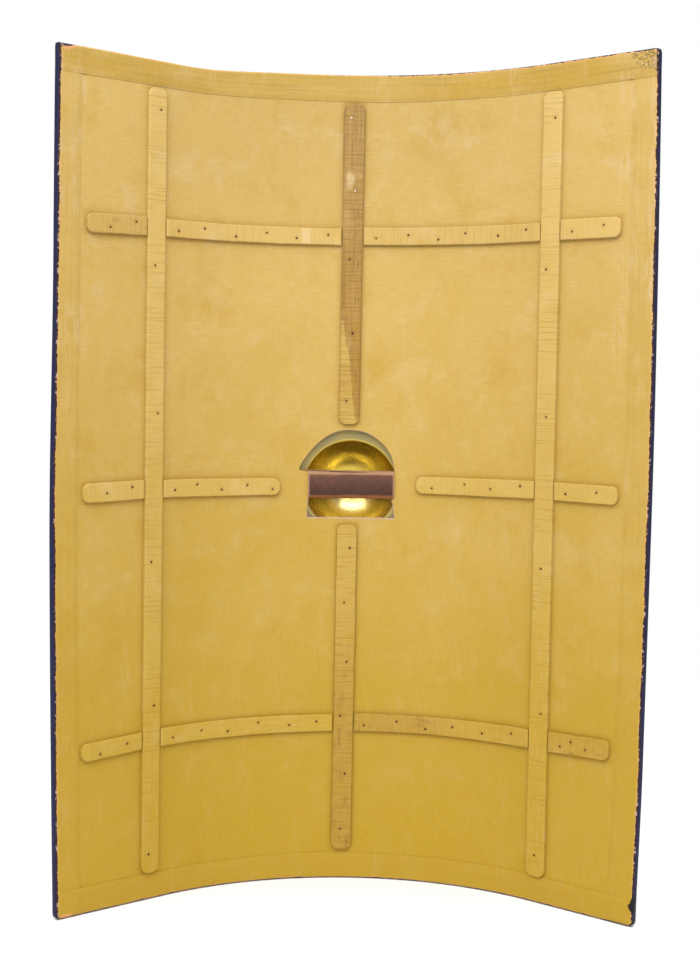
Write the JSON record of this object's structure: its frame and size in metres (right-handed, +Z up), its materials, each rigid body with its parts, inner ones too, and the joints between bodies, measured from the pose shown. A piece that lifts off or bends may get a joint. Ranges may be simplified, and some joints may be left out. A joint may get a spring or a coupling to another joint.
{
  "type": "roman scutum shield",
  "caption": "Tall curved rectangular shield with a battened hollow side, a leather-wrapped grip across hand openings and a hollow brass boss on the front.",
  "frame": {"origin": "on the ground under the middle of the shield's box, which stands on its lower rim", "axes": "+Z up the shield, +Y from the hollow side towards the boss, +X to the right seen from the hollow side"},
  "size_m": [0.711, 0.253, 1.04],
  "materials": {
    "board_paint": "matt ochre paint over linen inside, navy paint outside",
    "binding_cloth": "glued cloth strip, navy paint on the rim and outside, ochre inside",
    "batten_paint": "satin ochre paint, cross brushed",
    "worn_batten": "weathered wood with the paint worn off",
    "grip_leather": "smooth brown leather, rubbed",
    "brass": "aged sheet brass",
    "nail_iron": "dark forged iron"
  },
  "bodies": {
    "root": {"board": "board_paint", "grip_core": "board_paint", "binding_top": "binding_cloth", "binding_bottom": "binding_cloth", "binding_left": "binding_cloth", "binding_right": "binding_cloth", "batten_left": "batten_paint", "batten_right": "batten_paint", "batten_centre_lower": "batten_paint", "batten_centre_upper": "worn_batten", "batten_top_left_outer": "batten_paint", "batten_top_left_inner": "batten_paint", "batten_top_right_inner": "batten_paint", "batten_top_right_outer": "batten_paint", "batten_middle_left_outer": "batten_paint", "batten_middle_left_inner": "batten_paint", "batten_middle_right_inner": "batten_paint", "batten_middle_right_outer": "batten_paint", "batten_bottom_left_outer": "batten_paint", "batten_bottom_left_inner": "batten_paint", "batten_bottom_right_inner": "batten_paint", "batten_bottom_right_outer": "batten_paint", "grip_leather": "grip_leather", "boss": "brass", "boss_nail_1": "nail_iron", "boss_nail_2": "nail_iron", "boss_nail_3": "nail_iron", "boss_nail_4": "nail_iron"}
  },
  "joints": []
}
